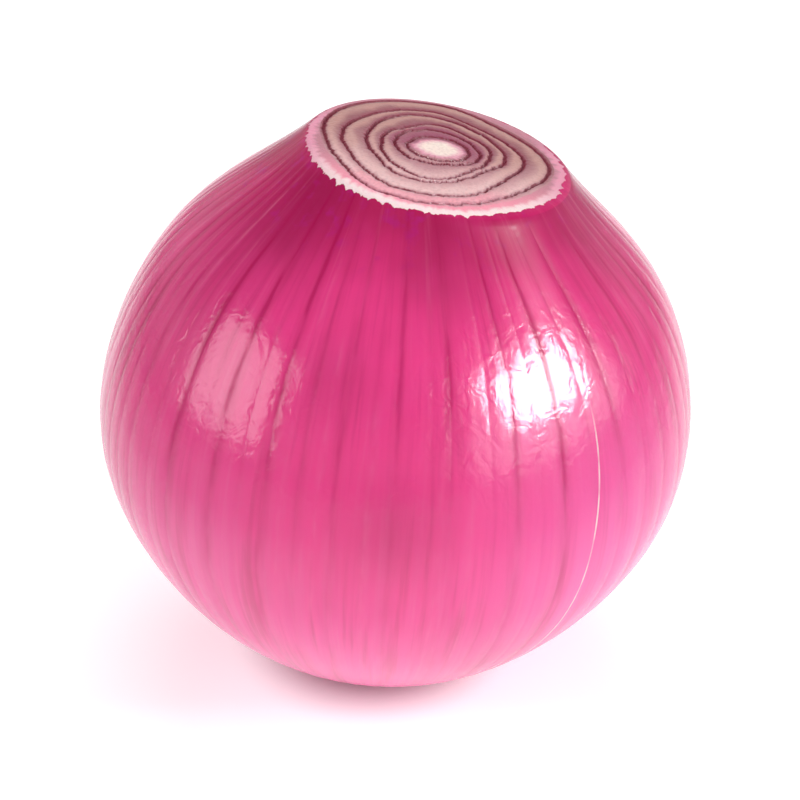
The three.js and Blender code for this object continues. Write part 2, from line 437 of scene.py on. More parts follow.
class Onion:
    """The outline and the cut of the onion, from its sizes."""

    def __init__(self, sizes, cut):
        self.sizes, self.cut = sizes, cut
        self.up, self.right, _ = leaning(sizes.bulb_lean)
        self.growth = leaning(sizes.growth_lean)
        self.cut_up, self.cut_right, self.cut_away = leaning(cut.tilt)
        outline = SKIN_DISTANCE + SKIN_DISTANCE[-2:0:-1]
        self.outline = controls([value * MM for value in outline])
        across_cut = self.cut_right * cut.heart_right + self.cut_away * cut.heart_away
        self.heart = self.up * cut.distance + across_cut
        self.level = self.heart @ self.cut_up

    def direction(self, down, round_it):
        """Direction from the middle, in degrees down from the growth axis and round it."""
        up, right, away = self.growth
        down, turn = np.radians(down)[..., None], np.radians(round_it - 90)[..., None]
        return np.cos(down) * up + np.sin(down) * (np.cos(turn) * right + np.sin(turn) * away)

    def skin(self, direction, lift=0.0):
        """Points of the skin, from the bulb's middle."""
        down = np.degrees(np.arccos(np.clip(direction @ self.up, -1, 1)))
        bulge = sum(out * MM * hump((down - at) / reach) for out, at, reach in SIDE_BULGES)
        distance = curve(self.outline, down / STATION) + bulge * (direction @ self.right) + lift
        return direction * distance[..., None]

    def crossing(self, round_it, is_above, low, high, steps=40):
        """Degrees down each column at which the skin passes a plane, found by halving."""
        low, high = np.full(round_it.shape, float(low)), np.full(round_it.shape, float(high))
        for _ in range(steps):
            middle = (low + high) / 2
            above = is_above(self.skin(self.direction(middle, round_it)))
            low, high = np.where(above, middle, low), np.where(above, high, middle)
        return (low + high) / 2


def seam_radii(around, reach):
    """Distance of each seam from the heart, at each column."""
    rng = np.random.default_rng(SEED)
    count = len(around)
    fine = ripple(rng, count, width=1.5, rows=len(SEAMS))
    broad = ripple(rng, count, width=9, rows=len(SEAMS))
    front = np.clip(-np.sin(around), 0, 1)
    radii = []
    inner = np.zeros(count)
    for index, seam in enumerate(SEAMS):
        outside = len(SEAMS) - 1 - index
        most = reach - (THINNEST_RIM + ROOM_FOR_SCALE * outside) * MM
        wobble = FINE_WOBBLE * (1 + front) * fine[index] + BROAD_WOBBLE * broad[index]
        radius = (curve(controls(seam), np.degrees(around) / SEAM_STATION) + wobble) * MM
        inner = np.maximum(inner + THINNEST_SCALE * MM, np.minimum(radius, most))
        radii.append(inner)
    return radii


def cut_rows(onion, angles, rim):
    """Points of the cut from beside the heart out to the rim.

    With them come how far each is from a seam in millimetres, the number of its scale from the heart
    out, and how far it is past the whole rim.
    """
    cut = onion.cut
    outward = onion.skin(onion.direction(rim, angles)) - onion.heart
    reach = np.linalg.norm(outward, axis=1)
    outward /= reach[:, None]
    radii = seam_radii(np.arctan2(outward @ onion.cut_away, outward @ onion.cut_right), reach)
    edge = reach - cut.rim_inset * (1 + cut.more_in_front * np.cos(np.radians(angles)))
    half = cut.seam_half_width
    rows, to_seam, scale_number = [], [], []

    def add(radius, groove, crown, number, gap):
        level = cut.dome * (1 - (radius / reach) ** 2) - cut.seam_depth * groove + cut.scale_crown * crown
        rows.append(onion.heart + outward * radius[:, None] + onion.cut_up * level[:, None])
        to_seam.append(np.full(len(angles), gap / MM))
        scale_number.append(np.full(len(angles), float(number)))

    for share in HEART_SHARES:
        add((radii[0] - half) * share, 0, 1 - share**2, share, radii[0] * (1 - share))
    for number, radius in enumerate(radii, 1):
        for side in SEAM_SIDES:
            add(radius + side * half, 1 - abs(side) ** 1.5, 0, number, abs(side) * half)
        is_rim = number == len(radii)
        inner = radius + half
        width = (edge if is_rim else radii[number] - half) - inner
        for share in SCALE_SHARES:
            crown = 4 * share * (1 - share) * (RIM_CROWN if is_rim else 1)
            gap = half + width * (share if is_rim else min(share, 1 - share))
            add(inner + width * share, 0, crown, number + share, gap)
    add(edge, 0, 0, len(radii) + 1, edge - radii[-1])
    past_rim = np.array([np.linalg.norm(row - onion.heart, axis=1) - reach for row in rows])
    return rows, to_seam, scale_number, past_rim


def torn_edge(angles, veins, tooth):
    """How far past the whole rim the skin is torn back: one tooth to a vein, with finer ones between."""
    rng = np.random.default_rng(SEED + 1)
    nearest = np.min([np.abs(apart(angles, angle)) for angle, _ in veins], axis=0)
    teeth = tooth * (1 - nearest / TOOTH_REACH).clip(-0.5, 1)
    fray = FRAY * MM * (ripple(rng, len(angles), width=1.2)[0] + ripple(rng, len(angles), width=6)[0])
    return curve(controls(TEAR), angles / TEAR_STATION) * MM + teeth + fray


def bevel_rows(onion, angles, rim, edge, start):
    """Points of the bevel, a rounded corner from the edge of the cut to the torn edge of the skin."""
    corner = onion.skin(onion.direction(rim, angles))
    end = onion.skin(onion.direction(edge, angles))
    bend = corner * BEVEL_CORNER + (start + end) * (1 - BEVEL_CORNER) / 2
    steps = [(i + 1) / (BEVEL_ROWS + 1) for i in range(BEVEL_ROWS)]
    return [start * (1 - t) ** 2 + bend * 2 * t * (1 - t) + end * t**2 for t in steps]


def rib_shape(angles, veins):
    """Height across the ribs, from 0 at each vein to at most 1 between two."""
    order = np.sort([apart(angle, 0) for angle, _ in veins])
    after = np.searchsorted(order, angles)
    left = np.where(after > 0, order[after - 1], order[-1] - 360)
    right = np.where(after < len(order), order[after % len(order)], order[0] + 360)
    across = np.clip((angles - left) / (right - left), 0, 1)
    return np.abs(np.sin(pi * across)) ** RIB_ROUNDNESS * np.minimum(1, (right - left) / WIDE_RIB)


def skin_rows(onion, angles, veins, down):
    """Points of the skin, with its ribs and the fine grooves along its veins."""
    sizes = onion.sizes
    fade = np.minimum(1, (down - down[0]) / RIB_RISE) * np.minimum(1, (down[-1] - down) / RIB_FALL)
    grooves = sizes.groove_depth * marks(angles, veins, sizes.groove_width)
    relief = sizes.rib_height * (rib_shape(angles, veins) - 0.5) - grooves
    sway = VEIN_SWAY * np.sin(np.radians(SWAY_WAVES[0] * down + SWAY_WAVES[1] * angles)) * fade
    lift = relief * fade * np.sin(np.radians(down))
    rows = onion.skin(onion.direction(down, angles + sway), lift)
    rows[-1, :, 2] = -sizes.middle_height
    return rows


def foot_rows(onion, edge):
    """Points of the foot, worn flat round a sunken root plate."""
    middle = foot_middle(onion.sizes)
    rows = []
    for out, height in FOOT_ROWS:
        ring = middle + (edge - middle) * out
        ring[:, 2] = middle[2] + height * MM
        rows.append(ring)
    return rows


def mark_facts(angles, veins, down):
    """Strength of each kind of mark on the skin, at each point."""
    names = ("vein", "band", "pale", "deep", "pink")
    facts = {name: np.zeros((ON_FOOT.stop, len(angles))) for name in names}
    spread = BAND_REACH + BAND_SPREAD * smooth_step((down - BAND_SPREADS_FROM) / BAND_SPREADS_OVER)
    facts["vein"][ON_SKIN] = marks(angles, veins, VEIN_REACH)
    facts["band"][ON_SKIN] = marks(angles, veins, spread)
    for angle, force, highest, lowest in PALE_LINES:
        shows = smooth_step((down - highest) / LINE_FADE) * smooth_step((lowest - down) / LINE_FADE)
        facts["pale"][ON_SKIN] += shows * marks(angles, [(angle, force)], PALE_REACH)
    for name, patches in (("deep", DEEP_AND_SHADE_PATCHES), ("pink", PINK_AND_SHEEN_PATCHES)):
        for angle, height, reach, force in patches:
            patch = hump(apart(angles, angle) / reach) * hump((down - height) / reach)
            facts[name][ON_SKIN] += force * patch
    return facts


def bare_flesh(tear, bevel, past_rim, rim, down):
    """How far each point is inside the torn edge of the skin, in millimetres."""
    bare = np.full((ON_FOOT.stop, len(tear)), NOT_BARE * MM)
    bare[ON_CUT] = tear - past_rim
    share = np.arange(1, BEVEL_ROWS + 1)[:, None] / (BEVEL_ROWS + 1)
    bare[ON_BEVEL] = tear - (past_rim[-1] + (bevel - past_rim[-1]) * share)
    bare[ON_SKIN] = tear - (down - rim) * MM_PER_DEGREE * MM
    return bare / MM


def grain_of(angles, rim, down):
    """At each point, cosine and sine of the angle round the onion, and radians down it."""
    grain = np.empty((ON_FOOT.stop, len(angles), 3))
    grain[..., 0] = np.cos(np.radians(angles))
    grain[..., 1] = np.sin(np.radians(angles))
    grain[: ON_BEVEL.stop, :, 2] = np.radians(rim)
    grain[ON_SKIN, :, 2] = np.radians(down)
    grain[ON_FOOT, :, 2] = np.radians(down[-1])
    return grain


def build_bulb(onion, angles, veins):
    """Rows of points from the heart down to the foot, both ends, and what the finishes read there."""
    ground = -onion.sizes.middle_height
    rim = onion.crossing(angles, lambda point: point @ onion.cut_up > onion.level, *RIM_ANGLES)
    foot = onion.crossing(angles, lambda point: point[..., 2] > ground, *FOOT_ANGLES)
    cut, seam, scale, past_rim = cut_rows(onion, angles, rim)
    tear = torn_edge(angles, veins, onion.cut.tooth)
    bevel = np.maximum(tear, NARROWEST_BEVEL * MM)
    edge = rim + bevel / MM / MM_PER_DEGREE
    down = edge + (foot - edge) * np.linspace(0, 1, SKIN_ROWS)[:, None]
    skin = skin_rows(onion, angles, veins, down)
    bevel_points = bevel_rows(onion, angles, rim, edge, cut[-1])
    points = np.array([*cut, *bevel_points, *skin, *foot_rows(onion, skin[-1])])
    top = onion.heart + onion.cut_up * (onion.cut.dome + onion.cut.scale_crown)
    bottom = foot_middle(onion.sizes) + np.array([0, 0, ROOT_MIDDLE_HEIGHT * MM])

    facts = mark_facts(angles, veins, down)
    facts["bare"] = bare_flesh(tear, bevel, past_rim, rim, down)
    facts["seam"] = np.full(points.shape[:2], float(FAR_FROM_SEAM))
    facts["seam"][ON_CUT] = seam
    facts["scale"] = np.full(points.shape[:2], len(SEAMS) + 1.0)
    facts["scale"][ON_CUT] = scale
    lift_up = np.array([0, 0, -ground])
    return points + lift_up, top + lift_up, bottom + lift_up, facts, grain_of(angles, rim, down)


def closed_mesh(name, points, top, bottom):
    """A closed mesh of rows of points with one more at either pole.

    With it come the rows and columns of its corners, and of its faces: top fan, rows of quads, bottom fan.
    """
    total, count = points.shape[:2]
    row, column = np.meshgrid(np.arange(total - 1), np.arange(count), indexing="ij")
    row, column = row.ravel(), column.ravel()
    ring, above, below = np.arange(count), np.full(count, -1), np.full(count, total)
    corner_rows = [
        np.stack([above, above + 1, above + 1], 1),
        np.stack([row, row + 1, row + 1, row], 1),
        np.stack([below - 1, below - 1, below], 1),
    ]
    corner_columns = [
        np.stack([ring, ring, ring + 1], 1),
        np.stack([column, column, column + 1, column + 1], 1),
        np.stack([ring + 1, ring, ring], 1),
    ]

    def vertex(rows, columns):
        index = 1 + rows * count + columns % count
        index = np.where(rows < 0, 0, index)
        return np.where(rows == total, 1 + total * count, index)

    faces = [vertex(r, c).tolist() for r, c in zip(corner_rows, corner_columns)]
    mesh = bpy.data.meshes.new(name)
    places = np.vstack([top, points.reshape(-1, 3), bottom])
    mesh.from_pydata(places.tolist(), [], faces[0] + faces[1] + faces[2])
    mesh.polygons.foreach_set("use_smooth", np.ones(len(mesh.polygons), bool))
    mesh.update()
    corners = [np.concatenate([part.ravel() for part in parts]) for parts in (corner_rows, corner_columns)]
    return mesh, corners, [np.concatenate([above, row, below - 1]), np.concatenate([ring, column, ring])]


def bake_layout(mesh, onion, points, angles, corners, faces):
    """UV map: front and back of the skin as two strips, with the cut and the foot as discs above."""
    rows, columns = corners
    sides = np.zeros(len(mesh.polygons), int)
    mesh.polygons.foreach_get("loop_total", sides)
    row_of, column_of = (np.repeat(part, sides) for part in faces)
    count = len(angles)
    angle = angles[columns % count] + 360 * (columns // count)
    # A face is behind when a place half a degree on from its first column is
    behind = np.abs(apart(angles[column_of] + 0.5, 0)) > 90
    first, last = ON_CUT.stop - 1, ON_SKIN.stop - 1
    across = 0.5 + apart(angle, np.where(behind, 180, 0)) / 180 * STRIP_WIDTH
    top = np.where(behind, BACK_STRIP_TOP, FRONT_STRIP_TOP)
    along = top - STRIP_HEIGHT * (rows - first) / (last - first)

    heart = onion.heart + np.array([0, 0, onion.sizes.middle_height])
    place = points[rows.clip(0, len(points) - 1), columns % count]
    discs = [
        (row_of < first, heart, onion.cut_right, onion.cut_away, CUT_DISC),
        (row_of >= last, points[-1].mean(0), np.array([1, 0, 0]), np.array([0, 1, 0]), FOOT_DISC),
    ]
    for here, middle, right, away, at in discs:
        arm = place[here] - middle
        arm[(rows[here] < 0) | (rows[here] == len(points))] = 0
        scale = np.linalg.norm(arm, axis=1).max() / DISC_RADIUS
        across[here] = at + arm @ right / scale
        along[here] = DISC_HEIGHT + arm @ away / scale
    layer = mesh.uv_layers.new(name="OFBake")
    layer.data.foreach_set("uv", np.stack([across, along], 1).ravel())


def store_facts(mesh, facts, grain):
    """Store what the finishes read at the points of the mesh, and a mean at either pole."""
    for name, values in facts.items():
        attribute = mesh.attributes.new(name, "FLOAT", "POINT")
        padded = np.concatenate([[values[0].mean()], values.ravel(), [values[-1].mean()]])
        attribute.data.foreach_set("value", padded.astype(np.float32))
    attribute = mesh.attributes.new("grain", "FLOAT_VECTOR", "POINT")
    first, last = [0, 0, grain[0, 0, 2]], [0, 0, grain[-1, 0, 2]]
    attribute.data.foreach_set("vector", np.vstack([first, grain.reshape(-1, 3), last]).ravel())


def root_stubs(middle):
    """Points and faces of short dry root stubs, spread like seeds in a flower head under the foot."""
    draw = draws(SEED + 2)
    points, faces = [], []
    for index in range(STUBS):
        out = STUB_SPREAD * MM * ((index + 0.5) / STUBS) ** 0.5
        turn = index * GOLDEN_ANGLE
        bounds = (STUB_WIDTHS, STUB_LOW_ENDS, STUB_LEANS)
        width, low, lean = (drawn(draw, least, most) * MM for least, most in bounds)
        start = len(points)
        # Height, share of the width, and share of the lean
        rings = [
            (STUB_TOP * MM, 1.0, 0),
            (STUB_BEND * MM, 0.9, 0.4),
            (low + STUB_TIP * MM, 0.7, 1),
            (low, 0.3, 1),
        ]
        for height, share, off in rings:
            x = middle[0] + (out + off * lean) * cos(turn)
            y = middle[1] + (out + off * lean) * sin(turn)
            for side in range(STUB_SIDES):
                angle = 2 * pi * side / STUB_SIDES
                points.append((x + width * share * cos(angle), y + width * share * sin(angle), height))
        for ring in range(len(rings) - 1):
            for side in range(STUB_SIDES):
                a = start + ring * STUB_SIDES + side
                b = start + ring * STUB_SIDES + (side + 1) % STUB_SIDES
                faces.append((a, a + STUB_SIDES, b + STUB_SIDES, b))
        tip = start + (len(rings) - 1) * STUB_SIDES
        faces.append(tuple(range(start, start + STUB_SIDES)))
        faces.append(tuple(reversed(range(tip, tip + STUB_SIDES))))
    return points, faces


class NodeMaker:
    """Short hand for adding and joining the nodes of a material or a world."""

    def __init__(self, tree):
        self.tree = tree

    def feed(self, socket, value):
        """Put a value, or the output of another node, on an input."""
        if isinstance(value, bpy.types.NodeSocket):
            self.tree.links.new(value, socket)
        elif hasattr(value, "__len__"):
            lacks_alpha = len(socket.default_value) == 4 and len(value) == 3
            socket.default_value = (*value, 1.0) if lacks_alpha else value
        else:
            socket.default_value = value

    def new(self, kind, **values):
        """A node, with some of its inputs by name."""
        node = self.tree.nodes.new("ShaderNode" + kind)
        for name, value in values.items():
            self.feed(node.inputs[name.replace("_", " ")], value)
        return node

    def worked_out(self, kind, operation, values, output):
        """Result of an arithmetic node."""
        node = self.new(kind)
        node.operation = operation
        for socket, value in zip(node.inputs, values):
            self.feed(socket, value)
        return node.outputs[output]

    def math(self, operation, *values):
        """Arithmetic on numbers."""
        return self.worked_out("Math", operation, values, 0)

    def vector(self, operation, *values, output="Vector"):
        """Arithmetic on vectors."""
        return self.worked_out("VectorMath", operation, values, output)

    def add(self, first, second):
        return self.math("ADD", first, second)

    def times(self, first, second):
        return self.math("MULTIPLY", first, second)

    def scaled(self, vector, factors):
        return self.vector("MULTIPLY", vector, factors)

    def part(self, vector, axis):
        """One of a vector's X, Y and Z."""
        return self.new("SeparateXYZ", Vector=vector).outputs[axis]

    def range(self, value, low, high, to_low=0.0, to_high=1.0):
        """A value moved smoothly from one range to another."""
        node = self.new("MapRange", Value=value, From_Min=low, From_Max=high, To_Min=to_low, To_Max=to_high)
        node.interpolation_type = "SMOOTHSTEP"
        return node.outputs["Result"]


class MaterialNodes(NodeMaker):
    """A new material and its nodes."""

    def __init__(self, name):
        self.material = bpy.data.materials.new(name)
        self.material.use_nodes = True
        super().__init__(self.material.node_tree)

    def finish(self, **values):
        """Set inputs of the surface shader by name."""
        shader = self.tree.nodes["Principled BSDF"]
        for name, value in values.items():
            self.feed(shader.inputs[name.replace("_", " ")], value)

    def fact(self, name, output="Fac"):
        """Value stored at each point of the mesh."""
        node = self.new("Attribute")
        node.attribute_name = name
        return node.outputs[output]

    def place(self):
        """Place on the object, in millimetres."""
        return self.scaled(self.new("TexCoord").outputs["Object"], (1000, 1000, 1000))

    def noise(self, vector, scale=1.0, detail=2.0, rough=0.5, twist=0.0):
        """Cloudy values from 0 to 1."""
        values = {"Scale": scale, "Detail": detail, "Roughness": rough, "Distortion": twist}
        return self.new("TexNoise", Vector=vector, **values).outputs["Fac"]

    def uneven(self, value, noise, amount):
        """A value moved up and down by cloudy values."""
        return self.add(value, self.times(self.add(noise, -0.5), amount))

    def cells(self, vector, scale):
        """Distance from the nearest of many scattered spots."""
        return self.new("TexVoronoi", Vector=vector, Scale=scale).outputs["Distance"]

    def mix(self, share, first, second):
        """Two colours mixed."""
        node = self.new("Mix")
        node.data_type = "RGBA"
        self.feed(node.inputs[0], share)
        self.feed(node.inputs[6], first)
        self.feed(node.inputs[7], second)
        return node.outputs[2]

    def bump(self, height):
        """Relief from a height in millimetres."""
        return self.new("Bump", Strength=1.0, Distance=MM, Height=height).outputs["Normal"]


def skin_colour(m, colours, grain, down, place, fine):
    """Crimson by the neck, magenta on the shoulder and pinker below, in patches and streaks; some patches
    are painted shade and painted sheen.
    """
    broad = m.noise(m.scaled(grain, (16, 16, 1.2)))
    cloud = m.noise(place, scale=0.09)
    body = m.mix(m.range(m.uneven(down, cloud, 0.4), 0.42, 0.95), colours.skin_top, colours.skin)
    body = m.mix(m.range(m.uneven(down, broad, 0.5), 1.4, 2.5), body, colours.skin_low)
    # Darker patches, partly painted shade
    body = m.mix(m.math("MINIMUM", m.fact("deep"), 1.0), body, colours.skin_deep_and_shade)
    # Paler patches, partly painted sheen below the highlights
    body = m.mix(m.math("MINIMUM", m.fact("pink"), 1.0), body, colours.skin_pink_and_sheen)
    mottled = m.noise(place, scale=0.16, detail=3)
    body = m.mix(m.range(mottled, 0.5, 0.8, 0.0, 0.12), body, colours.skin_low)
    bluish = m.range(m.noise(place, scale=0.5), 0.55, 0.75, 0.0, 0.5)
    body = m.mix(m.times(bluish, m.range(down, 0.75, 0.5)), body, colours.skin_blue)

    # Streaks, stronger at both sides and towards the foot
    sideways = m.math("ABSOLUTE", m.part(grain, "Y"))
    streaks = m.uneven(m.times(m.add(fine, -0.5), 0.35), broad, 0.8)
    streaks = m.times(streaks, m.range(sideways, 0.75, 0.97, 1.0, 1.8))
    streaks = m.times(streaks, m.range(down, 1.4, 2.1, 1.0, 1.6))
    body = m.mix(m.range(streaks, 0.0, 0.35, 0.0, 0.14), body, colours.pale)
    return m.mix(m.range(streaks, 0.0, -0.35, 0.0, 0.35), body, colours.vein)


def vein_share(m, grain, down):
    """How much of the veins' colour shows: a crisp line in a softer band, both fainter low down."""
    patchy = m.noise(m.scaled(grain, (30, 30, 5)))
    crisp = m.times(m.range(patchy, 0.3, 0.7, 0.15, 0.5), m.range(down, 1.05, 1.55, 1.0, 0.2))
    soft = m.times(m.range(patchy, 0.25, 0.75, 0.12, 0.42), m.range(down, 1.1, 1.8, 1.0, 0.6))
    vein = m.add(m.times(m.fact("vein"), crisp), m.times(m.fact("band"), soft))
    return m.math("MINIMUM", vein, MOST_VEIN)


def thread_share(m, grain, down, place):
    """Where the one crisp pale thread shows."""
    aim = radians((THREAD["from"] + THREAD["to"]) / 2)
    half_way = radians(THREAD["from"] - THREAD["to"]) / 2
    top, knee, bottom = (radians(THREAD[name]) for name in ("top", "knee", "bottom"))
    from_aim = m.add(m.times(m.part(grain, "Y"), cos(aim)), m.times(m.part(grain, "X"), -sin(aim)))
    off = m.add(from_aim, m.range(down, top, knee, -half_way, half_way))
    thread = m.range(m.math("ABSOLUTE", off), 0.0045, 0.0015)
    thread = m.times(thread, m.range(down, top - radians(3), top + radians(8)))
    thread = m.times(thread, m.range(down, bottom, bottom - radians(25)))
    thread = m.times(thread, m.range(m.noise(place, scale=0.25), 0.3, 0.6, 0.35, 1.0))
    # In front alone
    return m.times(thread, m.range(m.part(grain, "X"), 0.0, 0.2))


def bevel_colour(m, colours, place):
    """Where the frayed bevel shows, and its colour, whiter at its edge than by the cut and darkened towards
    the back as painted shade.
    """
    away = m.part(place, "Y")
    inside = m.uneven(m.fact("bare"), m.noise(place, scale=2.2), 0.5)
    front = m.range(away, -2, -13)
    # Painted shade: the sides darken towards the back, as the flesh of the cut does
    side = m.mix(m.range(away, 4, 12, 0.0, 0.8), colours.rim_side, colours.rim_dim)
    outer = m.mix(front, side, colours.rim)
    inner = m.mix(front, colours.rim_dim, colours.glow)
    by_cut = m.range(m.add(inside, m.times(m.noise(place, scale=0.9), 0.8)), 1.0, 2.0)
    return m.range(inside, -0.05, 0.05), m.mix(by_cut, outer, inner)


def skin_relief(m, down, place, fine, thread, bare):
    """Wrinkles that break up the highlights, with the fine streaks, the thread and the frayed bevel."""
    belt = m.times(m.range(down, 0.7, 1.0), m.range(down, 1.7, 1.3))
    wrinkles = m.noise(m.scaled(place, (1, 1, 0.8)), scale=0.55, twist=0.8)
    creases = m.noise(m.scaled(place, (1, 1, 0.7)), scale=1.2, detail=1, twist=0.5)
    fray = m.noise(place, scale=3.0)
    depth = m.add(m.times(belt, RELIEF["wrinkles"]), RELIEF["everywhere"])
    height = m.times(m.add(wrinkles, -0.5), depth)
    height = m.add(height, m.times(m.times(creases, belt), RELIEF["creases"]))
    height = m.add(height, m.times(fine, RELIEF["streaks"]))
    height = m.add(height, m.times(thread, RELIEF["thread"]))
    return m.bump(m.add(height, m.times(bare, m.times(fray, RELIEF["fray"]))))


def skin_finish(colours):
    """Glossy epidermis, streaked along its veins, with the pale torn bevel at its upper edge."""
    m = MaterialNodes("onion_skin")
    grain = m.fact("grain", "Vector")
    down = m.part(grain, "Z")
    place = m.place()
    fine = m.noise(m.scaled(grain, (75, 75, 3.5)), detail=3)
    body = skin_colour(m, colours, grain, down, place, fine)
    vein = vein_share(m, grain, down)
    body = m.mix(vein, body, colours.vein)
    patchy = m.noise(m.scaled(grain, (30, 30, 9)))
    pale = m.times(m.fact("pale"), m.range(patchy, 0.35, 0.7, 0.05, 0.45))
    body = m.mix(pale, body, colours.pale)
    thread = thread_share(m, grain, down, place)
    body = m.mix(m.times(thread, 0.85), body, colours.rim)
    specks = m.range(m.cells(place, 0.08), 0.022, 0.008)
    body = m.mix(m.times(specks, 0.5), body, colours.pale)
    bare, rim = bevel_colour(m, colours, place)
    # Less glossy by the neck and along the veins
    gloss = m.times(m.range(down, 0.5, 0.85, 0.2, 0.5), m.range(vein, 0.1, 0.65, 1.0, 0.4))
    m.finish(
        Base_Color=m.mix(bare, body, rim),
        Roughness=m.add(m.range(fine, 0.3, 0.7, 0.15, 0.21), m.times(bare, 0.25)),
        Normal=skin_relief(m, down, place, fine, thread, bare),
        Subsurface_Weight=0.25,
        Subsurface_Radius=(0.0022, 0.0006, 0.0010),
        Subsurface_Scale=1.0,
        IOR=1.7,
        Specular_IOR_Level=gloss,
    )
    return m.material


def flesh_finish(colours):
    """Wet sliced scales, each paler in its outer part, with dark ragged lines between them, and painted
    shade that darkens them towards the back.
    """
    m = MaterialNodes("onion_flesh")
    place = m.place()
    away = m.part(place, "Y")
    scale = m.fact("scale")
    cloud = m.add(m.noise(place, scale=0.25), -0.5)
    ragged = m.add(m.noise(place, scale=1.5, detail=3), -0.5)
    grit = m.noise(place, scale=2.5, detail=3)
    # Towards the back of the cut, where the flesh is darkened as painted shade
    rear = m.range(m.add(away, m.times(cloud, 8)), -11, 5)
    outer = m.range(m.add(m.math("FRACT", scale), cloud), 0.15, 0.7)
    in_front = m.mix(outer, colours.flesh_inner, colours.flesh)
    behind = m.mix(outer, colours.flesh_dim, colours.flesh_rear_shaded)
    flesh = m.mix(rear, in_front, behind)
    pink = m.times(m.range(scale, 5.0, 5.3), m.range(away, -7, -11, 0.0, 0.6))
    flesh = m.mix(pink, flesh, colours.glow)

    # Thin mauve scales round the heart, above all behind it and to its right
    beside = m.math("MAXIMUM", m.range(away, -2.5, 2.5), m.range(m.part(place, "X"), 6.5, 11))
    inmost = m.range(m.add(scale, m.times(cloud, 1.5)), 3.4, 1.6)
    flesh = m.mix(m.times(inmost, m.range(beside, 0.0, 1.0, 0.3, 0.85)), flesh, colours.mauve)
    ring = m.add(scale, m.times(m.add(ragged, cloud), 0.35))
    flesh = m.mix(m.range(ring, 1.0, 0.72), flesh, colours.rim_side)
    flesh = m.mix(m.range(ring, 0.85, 0.45), flesh, colours.heart)

    # Seams, with a few painted glints beside the inner ones in front
    gap = m.add(m.fact("seam"), m.times(ragged, 0.42))
    flesh = m.mix(m.range(gap, 0.7, 0.25, 0.0, 0.35), flesh, colours.mauve)
    line = m.range(m.add(gap, m.times(rear, -0.10)), 0.28, 0.12, 0.0, 0.9)
    flesh = m.mix(line, flesh, colours.seam)
    painted_glints = m.times(m.range(m.noise(place, scale=3.2), 0.60, 0.66), m.range(gap, 0.6, 0.2))
    painted_glints = m.times(painted_glints, m.times(m.range(scale, 2.0, 1.3), m.range(away, 0, -1.5)))
    flesh = m.mix(m.times(painted_glints, 0.8), flesh, colours.rim)
    flesh = m.mix(m.range(grit, 0.4, 0.75, 0.0, 0.22), flesh, colours.flesh_dim)
    m.finish(
        Base_Color=flesh,
        Roughness=0.38,
        Normal=m.bump(m.times(grit, 0.10)),
        Subsurface_Weight=0.3,
        Subsurface_Radius=(0.0020, 0.0010, 0.0010),
        Subsurface_Scale=1.0,
        IOR=1.38,
    )
    return m.material


def root_finish(colours):
    """Dry corky root plate."""
    m = MaterialNodes("onion_root")
    place = m.place()
    rings = m.noise(place, scale=0.8, detail=4, rough=0.7)
    dark = tuple(0.35 * value for value in colours.root)
    m.finish(
        Base_Color=m.mix(m.range(rings, 0.3, 0.7), dark, colours.root),
        Roughness=0.8,
        Normal=m.bump(m.times(m.noise(place, scale=2.2, detail=3), 0.25)),
    )
    return m.material


def stub_finish(colours):
    """Dry root stubs, paler than their plate."""
    m = MaterialNodes("onion_root_stubs")
    speckle = m.range(m.noise(m.place(), scale=3.0), 0.3, 0.7)
    pale = tuple(min(1.0, 1.3 * value) for value in colours.root)
    m.finish(Base_Color=m.mix(speckle, colours.root, pale), Roughness=0.85)
    return m.material


def floor_finish(stage):
    """White floor with some light of its own, so that it is as white as what surrounds it, with painted
    light round the onion and a painted shadow under it.
    """
    m = MaterialNodes("white_floor")
    place = m.place()

    def from_spot(x, y, across=1.0, along=1.0):
        """Distance from a spot on the floor, with a factor for each way."""
        offset = m.vector("ADD", place, (-x, -y, 0))
        return m.vector("LENGTH", m.scaled(offset, (across, along, 0)), output="Value")

    # Painted light where the onion's shade falls and in front of it, a painted shadow with no light of its
    # own right under the onion, and none far behind
    glow = m.add(m.range(from_spot(22, -5), 60, 25, 0.0, stage.near_painted_light), stage.floor_glow)
    glow = m.add(glow, m.range(m.part(place, "Y"), -15, -26, 0.0, stage.near_painted_light))
    # Painted shadow: no light of the floor's own right under the onion
    glow = m.times(glow, m.range(from_spot(-3, 0, across=1.2), 11, 24))
    glow = m.times(glow, m.range(from_spot(0, 110, across=1 / 90, along=1 / 125), 2.0, 1.2))
    m.finish(
        Base_Color=(0.75, 0.745, 0.745),
        Roughness=0.9,
        Emission_Color=(1, 1, 1),
        Emission_Strength=glow,
    )
    return m.material


def new_piece(scene, mesh):
    """An object for a mesh, with the mesh's name."""
    piece = bpy.data.objects.new(mesh.name, mesh)
    scene.collection.objects.link(piece)
    return piece


def white_room(stage):
    """World of plain white, brighter by the floor and to the right."""
    world = bpy.data.worlds.new("white_room")
    world.use_nodes = True
    room = NodeMaker(world.node_tree)
    around = room.new("TexCoord").outputs["Generated"]
    light = room.range(room.part(around, "Z"), 0.1, 0.6, stage.horizon, stage.ceiling)
    towards = room.vector("DOT_PRODUCT", around, RIGHT_WALL, output="Value")
    wall = room.range(towards, 0.66, 1.0, 0.0, stage.right_wall)
    background = room.tree.nodes["Background"]
    room.feed(background.inputs["Color"], (1, 1, 1))
    room.feed(background.inputs["Strength"], room.add(light, wall))
    return world


